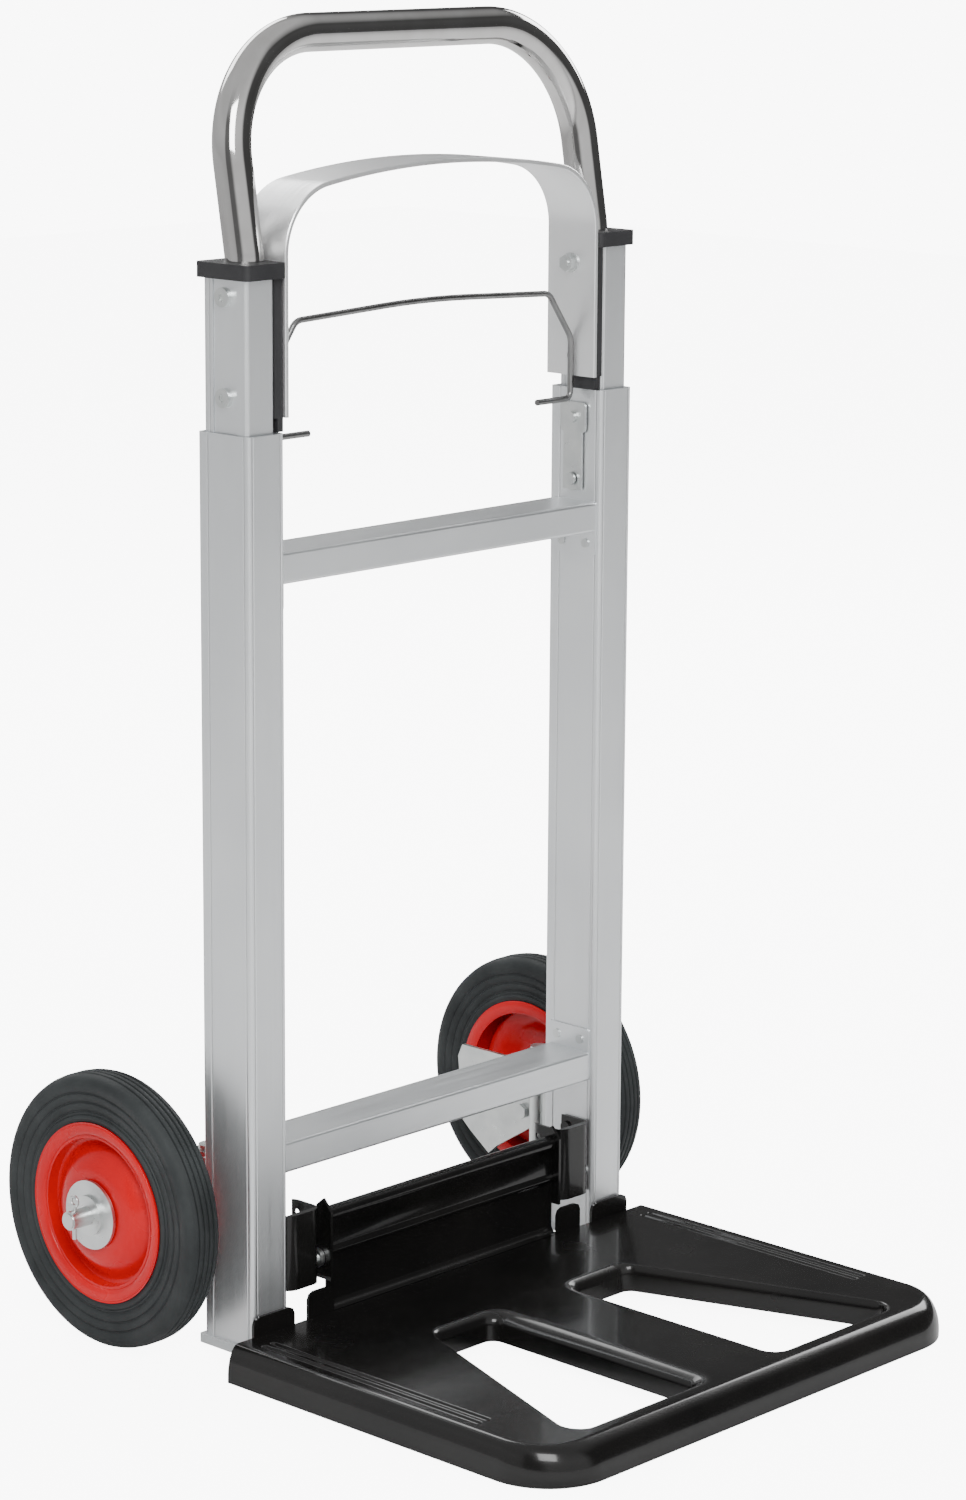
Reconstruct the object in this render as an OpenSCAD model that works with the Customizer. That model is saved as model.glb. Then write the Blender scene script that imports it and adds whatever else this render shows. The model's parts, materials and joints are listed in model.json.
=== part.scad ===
/* [Side rails] */
// Height of the underside of the outer rails above the floor
rail_z0 = 14; // [12:1:20]
// Height of the top of the outer rails above the floor
rail_z1 = 594; // [560:1:640]
// Overall width across the outer rails
rails_w = 349; // [340:1:354]
// Width of one outer rail, across the truck
outer_w = 30.6; // [30:0.2:32]
// Depth of one outer rail, front to back
outer_d = 45.2; // [44:0.2:48]
// Wall thickness of the outer rail
outer_wall = 1.6; // [1.2:0.1:2]
// Width of one inner rail
inner_w = 23.4; // [22:0.2:24]
// Depth of one inner rail
inner_d = 38; // [36:0.5:39]
// Wall thickness of the inner rail
inner_wall = 1.8; // [1.2:0.1:2.4]
// Height of the lower end of the inner rail
inner_z0 = 175; // [165:1:220]

/* [Crossbars] */
// Height of a crossbar tube
bar_h = 20; // [18:1:24]
// Depth of a crossbar tube
bar_d = 37; // [30:1:40]
// Height of the middle of the upper crossbar
upper_bar_z = 510; // [440:1:520]
// Height of the middle of the lower crossbar
lower_bar_z = 132.5; // [128:0.5:150]

/* [Handle] */
// Diameter of the handle tube
handle_dia = 23; // [20:0.5:24]
// Height of the middle of the top bar of the handle
handle_z = 831; // [820:1:860]
// Bend radius of the handle at its middle line
handle_bend = 76; // [60:1:80]
// Lean of the handle towards the back, in degrees
handle_lean = 9.7; // [8:0.1:11]
// Wall thickness of the handle tube
handle_wall = 1.5; // [1.2:0.1:2]
// How far the handle and the inner rails pull up
handle_travel = 280; // [100:10:290]

/* [Toe plate] */
// Width of the toe plate
toe_w = 400; // [394:1:404]
// Front edge of the toe plate, in front of the rails
toe_front = 279; // [270:1:290]
// Height of the top of the toe plate above the floor
toe_h = 24; // [22:0.5:25]
// Thickness of the pressed steel sheet
sheet = 2; // [1.6:0.1:2.4]
// Corner radius at the front of the toe plate
toe_corner = 45; // [40:1:50]
// Height of the toe plate hinge pin
hinge_z = 58; // [57:0.5:59]
// Distance of the toe plate hinge pin behind the rails' front
hinge_y = 8; // [7.5:0.5:9]

/* [Wheels] */
// Radius of the tyre
wheel_r = 90; // [88:0.5:92]
// Width of the tyre
wheel_w = 27; // [25:0.5:28]
// Radius of the rim
rim_r = 59; // [56:0.5:60]
// Distance of the axle behind the rails' front
axle_y = 103.4; // [102:0.2:105]
// Distance of the tyre's outer face from the middle of the truck
tyre_x = 214; // [213:0.5:215]

/* [Hidden] */
$fn = 48;

eps = 0.01;
rail_face = rails_w / 2 - outer_w;
rail_side = rails_w / 2;
rail_mid = rails_w / 2 - outer_w / 2;
inner_side = rail_side - 2.3;
inner_face = inner_side - inner_w;
inner_y = outer_d / 2;
inner_z1 = 688;
bar_y0 = 3;
handle_x = 155.5;
handle_y = inner_y;
cap_top = 697.5;
arch_face = 141.4;
arch_t = 3;
arch_d = 42;
arch_z0 = 603;
arch_top = 752.5;
arch_crown_r = 650;
arch_corner_r = 44;
bolt_zs = [616, 677];
nut_z = 677;
open_r = 8;
open_in = 46;
open_narrow = 92;
open_wide = 138;
open_rear = 93;
open_front = 232;
flange_t = 1.5;
flange_h = 16;
rivet_ys = [11, 32];
rivet_r = 1.6;
bars = [[upper_bar_z, -1], [lower_bar_z, 1]];
block_rivet_zs = [52, 86];
block_rivet_y = 22;
block_rivet_r = 2.3;
clevis_rivet_zs = [64, 112];
latch_z = 534;
pin_z = 575;
leaf_t = 1.6;
leaf_w = 22;
leaf_gap = 1;
leaf_x = rail_face - leaf_gap - leaf_t;
bail_dia = 3.2;
bail_y = 20.5;
pivot_x = 156;
pivot_y = 60;
barrel_r = 7;
plate_t = 3;
plate_x = pivot_x + barrel_r - plate_t;
clamp_y = 79;
clamp_z = 81;
hinge_pin_r = 4;
axle_r = 6;
axle_end = 238;
fit = 0.05;

// ---------------------------------------------------------------- helpers

// Rectangle with round corners, centred
module round_rect(w, h, r) {
    square([w - 2 * r, h], center = true);
    square([w, h - 2 * r], center = true);
    for (x = [-1, 1], y = [-1, 1])
        translate([x * (w / 2 - r), y * (h / 2 - r)]) circle(r);
}

// Closed tube section with round corners
module tube_section(w, h, wall, r) {
    difference() {
        round_rect(w, h, r);
        round_rect(w - 2 * wall, h - 2 * wall, max(r - wall, 0.5));
    }
}

// Cylinder along X starting at x
module rod_x(x, len, r) {
    translate([x, 0, 0]) rotate([0, 90, 0]) cylinder(h = len, r = r);
}

// The right-hand piece, or its mirror image on the left
module on_side(side) {
    if (side == "left") mirror([1, 0, 0]) children();
    else children();
}

// Moves from the rails' front face to the middle of the whole truck's footprint
module on_base() {
    translate([0, (toe_front - axle_y - wheel_r) / 2, 0]) children();
}

// Both the left-hand and the right-hand piece
module both_sides() {
    children();
    mirror([1, 0, 0]) children();
}

// Round bar that starts along +Z; each step is a length, a bend, its radius and a turn before the bend
module bar_run(steps, r, i = 0) {
    if (i < len(steps)) {
        s = steps[i];
        cylinder(h = s[0], r = r);
        translate([0, 0, s[0]]) rotate([0, 0, s[3]]) {
            if (s[1] > 0)
                translate([s[2], 0, 0]) rotate([90, 0, 180])
                    rotate_extrude(angle = s[1], $fn = 96) translate([s[2], 0]) circle(r);
            translate([s[2] * (1 - cos(s[1])), 0, s[2] * sin(s[1])]) rotate([0, s[1], 0])
                bar_run(steps, r, i + 1);
        }
    }
}

// ---------------------------------------------------------------- rails

// Holes in the rail's inner side: distance from the front, height and radius
function rail_holes() = concat(
    [[handle_y, pin_z, 4.5], [handle_y, latch_z, 2.4], [hinge_y, hinge_z, 4]],
    [for (z = block_rivet_zs) [block_rivet_y, z, block_rivet_r]],
    [for (bar = bars, y = rivet_ys) [y, bar[0] + bar[1] * (bar_h + flange_h) / 2, rivet_r]]
);

module outer_rail(side) {
    color("gainsboro") on_base() on_side(side)
        difference() {
            translate([rail_mid, outer_d / 2, rail_z0])
                linear_extrude(rail_z1 - rail_z0) tube_section(outer_w, outer_d, outer_wall, 3);
            for (hole = rail_holes())
                translate([0, hole[0], hole[1]]) rod_x(rail_face - 1, outer_wall + 2, hole[2]);
            for (z = clevis_rivet_zs)
                translate([rail_mid, outer_d - outer_wall - 1, z]) rotate([-90, 0, 0])
                    cylinder(h = outer_wall + 2, r = block_rivet_r);
        }
}

// Inner rail with a shallow channel down its outer side
module inner_rail(side) {
    color("silver") on_base() on_side(side)
        difference() {
            translate([inner_face + inner_w / 2, inner_y, inner_z0])
                linear_extrude(inner_z1 - inner_z0)
                difference() {
                    tube_section(inner_w, inner_d, inner_wall, 2.5);
                    translate([inner_w / 2 - 0.35, 0]) square([1, 21], center = true);
                }
            for (z = bolt_zs)
                translate([0, inner_y, z]) rod_x(inner_face - 1, inner_w + 2, 3.2);
            for (z = [pin_z, pin_z - handle_travel])
                translate([0, handle_y, z]) rod_x(inner_face - 1, inner_wall + 2, 4.5);
            translate([inner_face - 1, inner_y - 13, arch_z0])
                cube([inner_wall + 1.2, 26, inner_z1 - arch_z0 + 1]);
        }
}

// Plastic plug that guides the lower end of the inner rail
module rail_plug(side) {
    color("dimgray") on_base() on_side(side)
        translate([rail_mid, outer_d / 2, inner_z0 - 6])
        difference() {
            union() {
                linear_extrude(6)
                    round_rect(outer_w - 2 * outer_wall - 0.8, outer_d - 2 * outer_wall - 0.8, 2);
                linear_extrude(26)
                    translate([inner_face + inner_w / 2 - rail_mid, 0])
                    round_rect(inner_w - 2 * inner_wall - 0.8, inner_d - 2 * inner_wall - 0.2, 1);
            }
            translate([inner_face + inner_w / 2 - rail_mid, 0, 3])
                linear_extrude(30) round_rect(inner_w - 2 * inner_wall - 5, inner_d - 2 * inner_wall - 4, 1);
        }
}

module foot_cap(side) {
    color("lightgray") on_base() on_side(side) {
        translate([rail_mid + 0.8, outer_d / 2 + 1.4, rail_z0 - 5.5])
            linear_extrude(5.5) round_rect(outer_w + 4, outer_d + 2.8, 3);
        translate([rail_mid, outer_d / 2, rail_z0 - eps])
            linear_extrude(12)
            tube_section(outer_w - 2 * outer_wall - 0.2, outer_d - 2 * outer_wall - 0.2, 2, 1.4);
    }
}

// ---------------------------------------------------------------- crossbars

// Rectangular tube with an end flange against each rail, turned up or down
module crossbar(z, way) {
    color("gainsboro") on_base()
        translate([0, bar_y0 + bar_d / 2, z])
        rotate([90, 0, 90]) {
            translate([0, 0, -(rail_face - flange_t)])
                linear_extrude(2 * (rail_face - flange_t)) tube_section(bar_d, bar_h, 1.6, 2);
            for (x = [-1, 1])
                translate([0, way * flange_h / 2, x * (rail_face - flange_t / 2) - flange_t / 2])
                    linear_extrude(flange_t)
                    difference() {
                        round_rect(bar_d, bar_h + flange_h, 2);
                        for (y = rivet_ys)
                            translate([y - bar_y0 - bar_d / 2, way * bar_h / 2]) circle(rivet_r);
                    }
        }
}

module crossbar_rivets() {
    color("silver") on_base()
        for (bar = bars, y = rivet_ys)
            both_sides()
                translate([0, y, bar[0] + bar[1] * (bar_h + flange_h) / 2]) {
                    rod_x(rail_face - flange_t - 1.1, 1.1, 3);
                    rod_x(rail_face - flange_t, flange_t + outer_wall + 1.4, rivet_r);
                }
}

// ---------------------------------------------------------------- handle and brace

// Tube bent from one leg, over the top, down to the other leg
module handle() {
    elbow = 30;
    foot = 609;
    start = cap_top + 0.2;
    rise = (handle_z - start - elbow * sin(handle_lean)) / cos(handle_lean) - handle_bend;
    steps = [
        [start - foot, handle_lean, elbow, 90],
        [rise, 90, handle_bend, 90],
        [2 * (handle_x - handle_bend), 90, handle_bend, 0],
        [rise, handle_lean, elbow, -90],
        [start - foot, 0, 1, 0]
    ];
    color("whitesmoke") on_base()
        difference() {
            translate([handle_x, handle_y, foot]) bar_run(steps, handle_dia / 2);
            translate([handle_x, handle_y, foot]) bar_run(steps, handle_dia / 2 - handle_wall);
            both_sides()
                for (z = bolt_zs)
                    translate([0, handle_y, z]) rod_x(handle_x - 15, 30, 3.05);
        }
}

// Black moulding: cap on the rail, sleeve round the tube and strip beside the rail
module handle_socket(side) {
    strip_w = inner_face - arch_face;
    color("darkslategray") on_base() on_side(side)
        difference() {
            union() {
                translate([(arch_face + inner_side + 3.4) / 2, inner_y, inner_z1])
                    linear_extrude(cap_top - inner_z1)
                    round_rect(inner_side + 3.4 - arch_face, outer_d + 1, 4);
                translate([arch_face, inner_y - inner_d / 2 + 0.4, arch_z0])
                    cube([strip_w - 0.1, inner_d - 0.8, inner_z1 - arch_z0 + 1]);
                translate([inner_face - 0.2, inner_y - 12.8, arch_z0 + 1])
                    cube([inner_w - inner_wall - 0.4, 25.6, inner_z1 - arch_z0]);
                translate([rail_face - 4.6, 4, rail_z1 + 0.4])
                    cube([6.8, 22, arch_z0 - rail_z1 + 2]);
            }
            translate([handle_x, handle_y, 608.9]) cylinder(h = 200, r = handle_dia / 2 + fit);
            for (z = bolt_zs)
                translate([0, handle_y, z]) rod_x(arch_face - 1, 40, 3.05);
            translate([arch_face - 10, 0, arch_z0 - 30]) cube([10, 60, 145]);
        }
}

// Middle and corner of the arch's inner outline, whose arcs meet without a kink
arch_corner_x = arch_face - arch_corner_r;
arch_crown_mid = arch_top - arch_crown_r;
arch_corner_z = arch_crown_mid + sqrt(pow(arch_crown_r - arch_corner_r, 2) - pow(arch_corner_x, 2));
arch_turn = atan2(arch_corner_z - arch_crown_mid, arch_corner_x);

// Outline of the arch, drawn in by a distance: right leg, corner, crown, corner, left leg
function arch_outline(inset) = let (
    corner = [for (i = [0:12]) let (a = arch_turn * i / 12)
        [arch_corner_x + (arch_corner_r - inset) * cos(a), arch_corner_z + (arch_corner_r - inset) * sin(a)]],
    crown = [for (i = [1:19]) let (a = arch_turn + (180 - 2 * arch_turn) * i / 20)
        [(arch_crown_r - inset) * cos(a), arch_crown_mid + (arch_crown_r - inset) * sin(a)]]
) concat(
    [[arch_face - inset, arch_z0]], corner, crown,
    [for (i = [12:-1:0]) [-corner[i][0], corner[i][1]]], [[inset - arch_face, arch_z0]]
);

// Flat bar bent into an arch between the rails
module arch_brace() {
    outer = arch_outline(0);
    inner = arch_outline(arch_t);
    color("lightgray") on_base()
        difference() {
            translate([0, inner_y + arch_d / 2, 0]) rotate([90, 0, 0])
                linear_extrude(arch_d)
                polygon(concat(outer, [for (i = [len(inner) - 1:-1:0]) inner[i]]));
            both_sides()
                for (z = bolt_zs)
                    translate([0, inner_y, z]) rod_x(arch_face - arch_t - 1, arch_t + 2, 3.2);
        }
}

// Bolts through the rail, the handle tube, the moulding and the arch; the lower ones end flush
module frame_bolts() {
    color("lightsteelblue") on_base() both_sides()
        for (z = bolt_zs)
            translate([0, inner_y, z]) {
                tail = z == nut_z ? 7 : 0;
                difference() {
                    rod_x(inner_side - 0.85, 3.6, 6);
                    rod_x(inner_side + 1.2, 3, 2.6, $fn = 6);
                }
                rod_x(arch_face - arch_t - tail, inner_side - arch_face + arch_t + tail, 3);
            }
}

module frame_nuts() {
    color("lightsteelblue") on_base() both_sides()
        translate([arch_face - arch_t - 6, inner_y, nut_z]) rotate([0, 90, 0])
        difference() {
            union() {
                cylinder(h = 5, r = 5.8, $fn = 6);
                translate([0, 0, 4.8]) cylinder(h = 1.2, r = 6.6);
            }
            translate([0, 0, -1]) cylinder(h = 9, r = 3);
        }
}

// ---------------------------------------------------------------- release bail and latches

// Bent wire that joins the two latch leaves
module release_bail() {
    foot = 104;
    leg = 136.2;
    foot_bend = 4;
    bend = 9;
    slant = 45;
    slant_len = 26;
    half_top = leg - bend - slant_len * sin(slant);
    steps = [
        [leg - foot - foot_bend, 90, foot_bend, 180],
        [40, slant, bend, 0],
        [slant_len, slant, bend, 0],
        [2 * half_top, slant, bend, 0],
        [slant_len, slant, bend, 0],
        [40, 90, foot_bend, 0],
        [leg - foot - foot_bend, 0, 1, 0]
    ];
    color("silver") on_base()
        translate([foot, bail_y, 588]) rotate([0, 90, 0]) bar_run(steps, bail_dia / 2);
}

// Spring leaf riveted to the rail at its foot
module latch_leaf(side) {
    color("lightsteelblue") on_base() on_side(side)
        difference() {
            translate([leaf_x, handle_y, 0]) rotate([90, 0, 90])
                linear_extrude(leaf_t) {
                    translate([0, (latch_z + pin_z) / 2])
                        square([leaf_w - 6, pin_z - latch_z + 14], center = true);
                    translate([0, latch_z]) circle(8);
                    translate([0, pin_z]) round_rect(leaf_w, 20, 3);
                }
            translate([0, handle_y, latch_z]) rod_x(leaf_x - 1, leaf_t + 2, 2.6);
            translate([0, handle_y, pin_z]) rod_x(leaf_x - 1, leaf_t + 2, 2);
        }
}

module lock_pin(side) {
    color("silver") on_base() on_side(side)
        translate([0, handle_y, pin_z]) {
            rod_x(leaf_x - 3, 3, 4);
            rod_x(leaf_x - eps, leaf_t + 2 * eps, 2);
            rod_x(leaf_x + leaf_t, rail_face + outer_wall + 0.4 - leaf_x - leaf_t, 3);
        }
}

module latch_rivets() {
    color("silver") on_base() both_sides()
        translate([0, handle_y, latch_z]) {
            rod_x(leaf_x - 2.8, 2, 4.2);
            rod_x(leaf_x - 0.9, rail_face + outer_wall + 0.9 - leaf_x, 2.4);
        }
}

// ---------------------------------------------------------------- toe plate and its hinge

// Pressed bracket with a round front edge, fixed to the rail's inner side
module hinge_block(side) {
    block_w = 31;
    color("black") on_base() on_side(side)
        difference() {
            translate([rail_face - block_w / 2, 15, 44])
                linear_extrude(50)
                difference() {
                    round_rect(block_w, 30, 9);
                    translate([0, 6]) square([block_w - 2 * sheet, 30 - 2 * sheet + 8], center = true);
                }
            translate([0, hinge_y, hinge_z]) rod_x(rail_face - 40, 60, 4.05);
            for (z = block_rivet_zs)
                translate([0, block_rivet_y, z]) rod_x(rail_face - 40, 60, block_rivet_r);
        }
}

module hinge_block_rivets() {
    color("dimgray") on_base() both_sides()
        for (z = block_rivet_zs)
            translate([0, block_rivet_y, z]) {
                rod_x(rail_face - sheet - 1.6, 1.6, 4);
                rod_x(rail_face - sheet, sheet + outer_wall + 0.6, block_rivet_r);
            }
}

// Pins on which the toe plate turns
module toe_hinge_pins() {
    color("silver") on_base() both_sides()
        translate([0, hinge_y, hinge_z]) {
            rod_x(107, rail_face + outer_wall - 107, 4);
            rod_x(109.4, 3.5, 6.5);
        }
}

// Outline of the toe plate's panel, seen from above
module toe_outline(inset) {
    r = toe_corner - inset;
    w = toe_w / 2 - inset;
    translate([-w, -(toe_front - toe_corner)]) square([2 * w, toe_front - toe_corner - 2 - inset / 2]);
    translate([-(toe_w / 2 - toe_corner), -(toe_front - inset)])
        square([toe_w - 2 * toe_corner, toe_front - inset - 4]);
    for (x = [-1, 1])
        translate([x * (toe_w / 2 - toe_corner), -(toe_front - toe_corner)]) circle(r, $fn = 96);
}

// Both openings of the toe plate: narrow at the back, wide at the front
module toe_opening(grow) {
    r = open_r + grow;
    run = open_front - open_rear;
    out = open_wide - open_narrow;
    slant = norm([run, out]);
    nx = r * run / slant;
    ny = r * out / slant;
    for (x = [0, 1])
        mirror([x, 0]) {
            polygon([
                [open_in, r - open_rear], [open_narrow, r - open_rear], [open_narrow + nx, ny - open_rear],
                [open_wide + nx, ny - open_front], [open_wide, -open_front - r], [open_in, -open_front - r],
                [open_in - r, -open_front], [open_in - r, -open_rear]
            ]);
            for (x = [open_in, open_narrow]) translate([x, -open_rear]) circle(r);
            for (x = [open_in, open_wide]) translate([x, -open_front]) circle(r);
        }
}

// Pressed panel with a deep turned-down rim, turned-down openings and a back wall
module toe_plate() {
    color("black") on_base()
        difference() {
            union() {
                difference() {
                    linear_extrude(toe_h) toe_outline(0);
                    translate([0, 0, -1]) linear_extrude(toe_h - sheet + 1) toe_outline(sheet);
                }
                translate([0, 0, toe_h - 14])
                    linear_extrude(14 - eps)
                    intersection() {
                        toe_opening(sheet);
                        toe_outline(1);
                    }
                for (x = [-1, 1])
                    translate([x * (rail_mid + 0.6) - 18, -3.2, toe_h - 4]) cube([36, 2.2, 17]);
                back_wall();
            }
            translate([0, 0, -1]) linear_extrude(toe_h + 2) toe_opening(0);
            for (x = [-1, 1])
                translate([x * 182, 0, toe_h + 9]) rotate([90, 0, 0])
                    translate([0, 0, 36]) cylinder(h = 160, r = 10);
        }
}

// Wall between the rails, with a rolled top edge and a long pressed bead
module back_wall() {
    top = 87;
    back = 3;
    half = 107;
    flap = 129;
    translate([-half, -3.2, toe_h - sheet]) cube([2 * half, back + 3.2, sheet]);
    translate([-half, back, toe_h - sheet]) cube([2 * half, sheet, top - toe_h + sheet]);
    translate([-half, back + 1, top]) rod_x(0, 2 * half, 4);
    translate([-half + 9, back, 63]) rod_x(0, 2 * half - 18, 3.2);
    for (x = [-1, 1])
        translate([x * (half + flap) / 2 - (flap - half) / 2, -3.2, toe_h - sheet])
            cube([flap - half, 2.2, 19]);
}

// Ears that carry the hinge pins
module toe_ears() {
    color("black") on_base() both_sides()
        difference() {
            translate([107, 0, 0]) rotate([90, 0, 90])
                linear_extrude(sheet) {
                    polygon([[-3.2, 44], [-3.2, 90], [4, 98], [10, 93], [17, 66], [17, 52], [10, 44]]);
                    translate([hinge_y, hinge_z]) circle(10);
                }
            translate([0, hinge_y, hinge_z]) rod_x(100, 20, 4 + fit);
        }
}

// ---------------------------------------------------------------- wheel brackets

// Hinge plate on the back of the rail, with a lug above and below the bracket
module wheel_hinge(side) {
    color("lightsteelblue") on_base() on_side(side)
        difference() {
            union() {
                translate([rail_mid - 13, outer_d, 46]) cube([26, 3, 84]);
                for (z = [46, 127])
                    translate([pivot_x, pivot_y, z])
                        linear_extrude(3) {
                            circle(9);
                            translate([-9, outer_d - pivot_y + 0.2]) square([18, pivot_y - outer_d - 0.2]);
                        }
            }
            translate([pivot_x, pivot_y, 40]) cylinder(h = 100, r = hinge_pin_r);
            for (z = clevis_rivet_zs)
                translate([rail_mid, 0, z]) rotate([-90, 0, 0]) cylinder(h = 60, r = block_rivet_r);
        }
}

module wheel_hinge_pins() {
    color("silver") on_base() both_sides()
        translate([pivot_x, pivot_y, 0]) {
            translate([0, 0, 45]) cylinder(h = 87, r = hinge_pin_r);
            translate([0, 0, 130]) cylinder(h = 3, r = 6.5);
        }
}

module wheel_hinge_rivets() {
    color("silver") on_base() both_sides()
        for (z = clevis_rivet_zs)
            translate([rail_mid, 0, z]) rotate([-90, 0, 0]) {
                translate([0, 0, outer_d - outer_wall - 0.6])
                    cylinder(h = outer_wall + 3.6, r = block_rivet_r);
                translate([0, 0, outer_d + 3]) cylinder(h = 1.4, r = 4);
            }
}

// Outline of the bracket's plate, y across and z up
module bracket_outline() {
    polygon([[pivot_y, 117], [pivot_y, 79], [77, 67], [104, 50], [112, 43], [130, 56], [137, 62], [142, 108],
        [138, 117]]);
}

// Swinging bracket: hinge barrel, plate and a boss for the axle
module wheel_bracket(side) {
    color("lightsteelblue") on_base() on_side(side)
        difference() {
            union() {
                translate([pivot_x, pivot_y, 50]) cylinder(h = 76, r = barrel_r);
                translate([plate_x, 0, 0]) rotate([90, 0, 90]) linear_extrude(plate_t) bracket_outline();
                translate([0, axle_y, wheel_r]) rod_x(plate_x + 1, 182.8 - plate_x - 1, 11);
            }
            translate([pivot_x, pivot_y, 40]) cylinder(h = 100, r = hinge_pin_r + fit);
            translate([0, axle_y, wheel_r]) rod_x(plate_x - 2, 60, axle_r);
            translate([0, clamp_y, clamp_z]) rod_x(plate_x - 2, 8, 3);
        }
}

module bracket_bolt(side) {
    color("silver") on_base() on_side(side)
        translate([0, clamp_y, clamp_z]) {
            rod_x(plate_x - 4, 4, 5.6, $fn = 6);
            rod_x(plate_x - 1, 8, 3);
            rod_x(plate_x + plate_t, 4, 5.6, $fn = 6);
        }
}

// ---------------------------------------------------------------- wheels

module axle(side) {
    color("lightsteelblue") on_base() on_side(side)
        translate([0, axle_y, wheel_r])
        difference() {
            union() {
                rod_x(plate_x - 1, axle_end - plate_x, axle_r);
                rod_x(plate_x - 5, 5, 9.5, $fn = 6);
                rod_x(axle_end - 1.5, 1.5, 5);
            }
            translate([axle_end - 6, 0, -20]) cylinder(h = 40, r = 1.7);
        }
}

module axle_washers(side) {
    color("lightsteelblue") on_base() on_side(side)
        translate([0, axle_y, wheel_r])
        for (w = [[tyre_x + 3.4, 2.2, 22.5], [tyre_x + 5.6, 2.2, 13], [183.2, 2, 13]])
            difference() {
                rod_x(w[0], w[1], w[2]);
                rod_x(w[0] - 1, w[1] + 2, axle_r + fit);
            }
}

// Split pin through the end of the axle
module split_pin(side) {
    color("silver") on_base() on_side(side)
        translate([axle_end - 6, axle_y, wheel_r]) {
            translate([0, 0, -13]) cylinder(h = 23, r = 1.5, $fn = 16);
            translate([0, 0, 12]) rotate([0, 90, 0])
                rotate_extrude($fn = 32) translate([3, 0]) circle(1.2, $fn = 16);
        }
}

// Solid rubber tyre with round shoulders and ribs round its tread
module tyre(side) {
    half = wheel_w / 2;
    color("dimgray") on_base() on_side(side)
        translate([tyre_x - half, axle_y, wheel_r]) rotate([0, 90, 0])
        rotate_extrude($fn = 128)
        difference() {
            union() {
                translate([rim_r - 1.5, 1.9 - half]) square([20, wheel_w - 3.8]);
                translate([rim_r + 0.1, -half]) square([wheel_r - rim_r - 7.1, wheel_w]);
                translate([rim_r + 0.1, 7 - half]) square([wheel_r - rim_r - 0.1, wheel_w - 14]);
                for (y = [-1, 1]) translate([wheel_r - 7, y * (half - 7)]) circle(7);
            }
            for (y = [-6, -2, 2, 6]) translate([wheel_r, y]) circle(1);
        }
}

// Pressed rim: two flanges, a drum and a dished disc with a hub
module rim(side) {
    half = wheel_w / 2;
    edge = half + 0.4;
    step = half - 1.8;
    drum = rim_r - 1.6;
    drum_in = rim_r - 4.6;
    lip = rim_r - 9;
    disc = 1.5;
    hub = half + 2;
    color("firebrick") on_base() on_side(side)
        translate([tyre_x - half, axle_y, wheel_r]) rotate([0, 90, 0])
        rotate_extrude($fn = 96)
        polygon([
            [rim_r, edge], [lip, edge], [lip, step], [drum_in, step], [drum_in, disc], [46.4, disc],
            [31, hub], [10, hub], [10, -edge], [13, -edge], [13, hub - 3], [29.4, hub - 3],
            [44.6, -disc], [drum_in, -disc], [drum_in, -step], [lip, -step], [lip, -edge], [rim_r, -edge],
            [rim_r, -step], [drum, -step], [drum, step], [rim_r, step]
        ]);
}

// Bush between the rim's hub and the axle
module hub_bush(side) {
    color("gray") on_base() on_side(side)
        translate([0, axle_y, wheel_r])
        difference() {
            rod_x(tyre_x - wheel_w - 1.6, wheel_w + 4.8, 10);
            rod_x(tyre_x - wheel_w - 4, wheel_w + 14, axle_r + fit);
        }
}

// ---------------------------------------------------------------- nodes

outer_rail("left");  // left_outer_rail
outer_rail("right");  // right_outer_rail
crossbar(upper_bar_z, -1);  // upper_crossbar
crossbar(lower_bar_z, 1);  // lower_crossbar
crossbar_rivets();
foot_cap("left");  // left_foot_cap
foot_cap("right");  // right_foot_cap
hinge_block("left");  // left_hinge_block
hinge_block("right");  // right_hinge_block
hinge_block_rivets();
toe_hinge_pins();
wheel_hinge("left");  // left_wheel_hinge
wheel_hinge("right");  // right_wheel_hinge
wheel_hinge_pins();
wheel_hinge_rivets();
inner_rail("left");  // left_inner_rail
inner_rail("right");  // right_inner_rail
rail_plug("left");  // left_rail_plug
rail_plug("right");  // right_rail_plug
handle_socket("left");  // left_handle_socket
handle_socket("right");  // right_handle_socket
handle();
arch_brace();
frame_bolts();
frame_nuts();
release_bail();
latch_leaf("left");  // left_latch_leaf
latch_leaf("right");  // right_latch_leaf
lock_pin("left");  // left_lock_pin
lock_pin("right");  // right_lock_pin
latch_rivets();
toe_plate();
toe_ears();
wheel_bracket("left");  // left_wheel_bracket
wheel_bracket("right");  // right_wheel_bracket
axle("left");  // left_axle
axle("right");  // right_axle
axle_washers("left");  // left_axle_washers
axle_washers("right");  // right_axle_washers
split_pin("left");  // left_split_pin
split_pin("right");  // right_split_pin
bracket_bolt("left");  // left_bracket_bolt
bracket_bolt("right");  // right_bracket_bolt
tyre("left");  // left_tyre
tyre("right");  // right_tyre
rim("left");  // left_rim
rim("right");  // right_rim
hub_bush("left");  // left_hub_bush
hub_bush("right");  // right_hub_bush
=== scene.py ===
"""Folding hand truck: detailed meshes, materials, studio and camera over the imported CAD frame."""
import json
import math

import bmesh
import bpy
from mathutils import Matrix, Vector
from mathutils.geometry import delaunay_2d_cdt


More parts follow.
